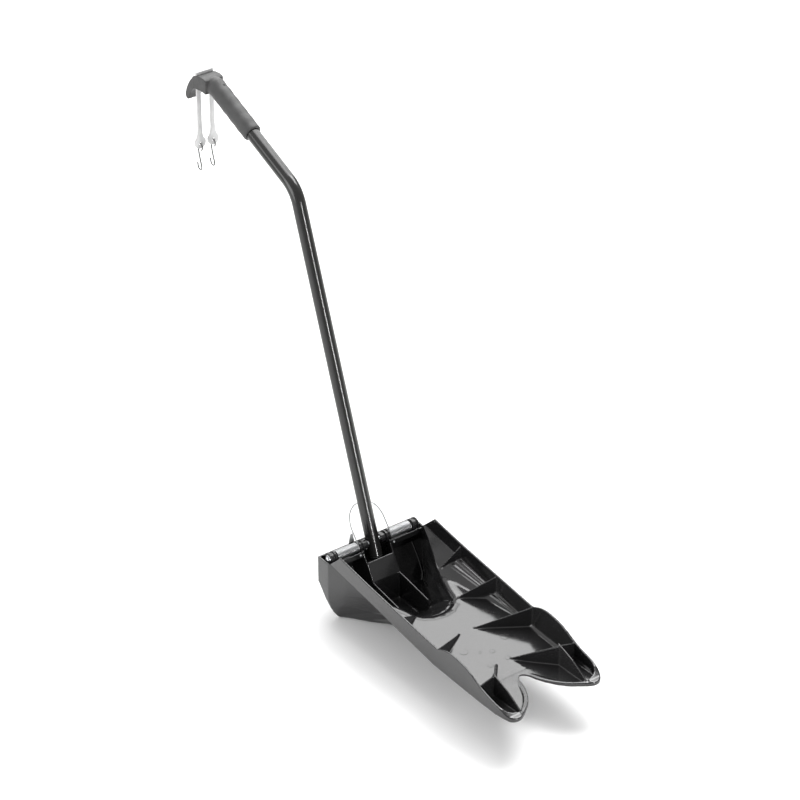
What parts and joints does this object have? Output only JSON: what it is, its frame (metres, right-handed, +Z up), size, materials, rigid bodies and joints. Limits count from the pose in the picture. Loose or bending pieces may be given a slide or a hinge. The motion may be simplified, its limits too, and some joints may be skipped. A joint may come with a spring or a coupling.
{
  "type": "forked scoop with sprung handle",
  "caption": "Black moulded forked scoop with a rear bucket, a bent tube handle on a sprung cross axle, and a hooked grip carrying a rubber strap with wire hooks.",
  "frame": {"origin": "centre of the bucket's flat underside", "axes": "+Z up away from the flat underside, the prongs point along -Y, +X is on the right when looking along +Y, from the prongs towards the handle; the part is symmetric about X = 0 apart from the keeper tab and the grip's screw"},
  "size_m": [0.208, 1.0622, 0.8395],
  "materials": {
    "black_moulding": "semi-gloss moulded black",
    "dark_tube": "dark satin coated tube",
    "grip": "matte dark grey",
    "plug": "matte black",
    "bush": "matte black",
    "dark_screw": "blackened",
    "zinc": "bright zinc",
    "spring_wire": "bright zinc",
    "hook_wire": "bright zinc",
    "keeper": "dull grey sheet",
    "strap": "light grey soft rubber"
  },
  "bodies": {
    "scoop": {"scoop_body": "black_moulding", "axle_rod": "zinc", "axle_head_left": "zinc", "axle_head_right": "zinc", "axle_washer_left": "zinc", "axle_washer_right": "zinc", "outer_bush_left": "bush", "outer_bush_right": "bush", "inner_bush_left": "bush", "inner_bush_right": "bush", "sleeve_left": "bush", "sleeve_right": "bush", "torsion_spring": "spring_wire", "spring_keeper": "keeper", "bush_screw_left": "zinc", "bush_screw_right": "zinc"},
    "handle": {"handle_tube": "dark_tube", "tube_plug": "plug", "tube_collar": "zinc", "grip": "grip", "grip_screw": "dark_screw", "strap_bar": "strap"},
    "strap_left": {"strap_leg_left": "strap"},
    "strap_right": {"strap_leg_right": "strap"},
    "hook_left": {"s_hook_left": "hook_wire"},
    "hook_right": {"s_hook_right": "hook_wire"}
  },
  "joints": [
    {"name": "handle_pivot", "type": "hinge", "parent": "scoop", "child": "handle", "pos_m": [0, 0.07, 0.111], "axis": [-1, 0, 0], "range_deg": [0, 8], "stiffness_Nm_per_rad": 0.75, "springref_deg": -148.97, "deforming": ["torsion_spring"]},
    {"name": "strap_swing_left", "type": "hinge", "parent": "handle", "child": "strap_left", "pos_m": [-0.0137, 0.565, 0.8025], "axis": [1, 0, 0], "range_deg": [-40, 22]},
    {"name": "hook_swing_left", "type": "hinge", "parent": "strap_left", "child": "hook_left", "pos_m": [-0.0137, 0.565, 0.6924], "axis": [1, 0, 0], "range_deg": [-30, 30]},
    {"name": "strap_swing_right", "type": "hinge", "parent": "handle", "child": "strap_right", "pos_m": [0.0137, 0.565, 0.8025], "axis": [1, 0, 0], "range_deg": [-40, 22]},
    {"name": "hook_swing_right", "type": "hinge", "parent": "strap_right", "child": "hook_right", "pos_m": [0.0137, 0.565, 0.6924], "axis": [1, 0, 0], "range_deg": [-30, 30]}
  ]
}
